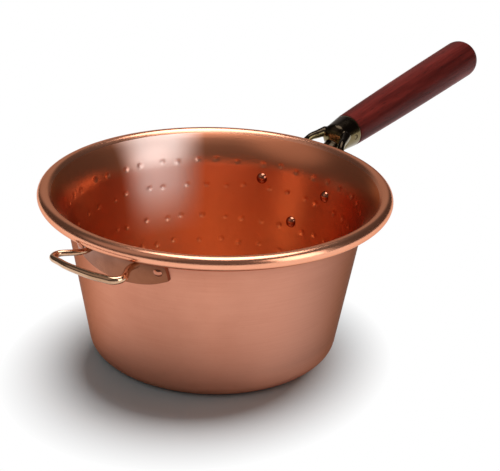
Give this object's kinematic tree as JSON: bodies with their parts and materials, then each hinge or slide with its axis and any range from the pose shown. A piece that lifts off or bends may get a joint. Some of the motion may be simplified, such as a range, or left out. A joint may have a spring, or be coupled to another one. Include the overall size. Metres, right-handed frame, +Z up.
{
  "type": "polenta pot",
  "caption": "Flared copper cooking pot with a rolled rim, a long wooden handle on a riveted brass bracket, and a short brass loop opposite it.",
  "frame": {"origin": "centre of the flat base, on the surface that the pot stands on", "axes": "+Z up the pot's axis, +X along the long handle, the loop at -X"},
  "size_m": [0.5334, 0.2598, 0.1559],
  "materials": {
    "copper_sheet": "hammered copper, satin outside and polished inside",
    "rim_steel": "plain drawn wire, hidden in the rolled rim",
    "bracket_brass": "polished cast brass",
    "stained_wood": "turned hardwood with a red-brown stain and a satin varnish",
    "loop_brass": "polished brass, warmer than the bracket",
    "rivet_copper": "hand-set solid copper rivets"
  },
  "bodies": {
    "root": {"pot_body": "copper_sheet", "rim_wire": "rim_steel", "handle_bracket": "bracket_brass", "wood_grip": "stained_wood", "grip_pin": "bracket_brass", "loop_plate": "loop_brass", "loop_handle": "loop_brass", "handle_rivet_left": "rivet_copper", "handle_rivet_right": "rivet_copper", "handle_rivet_lower": "rivet_copper", "loop_rivet_left": "rivet_copper", "loop_rivet_right": "rivet_copper"}
  },
  "joints": []
}
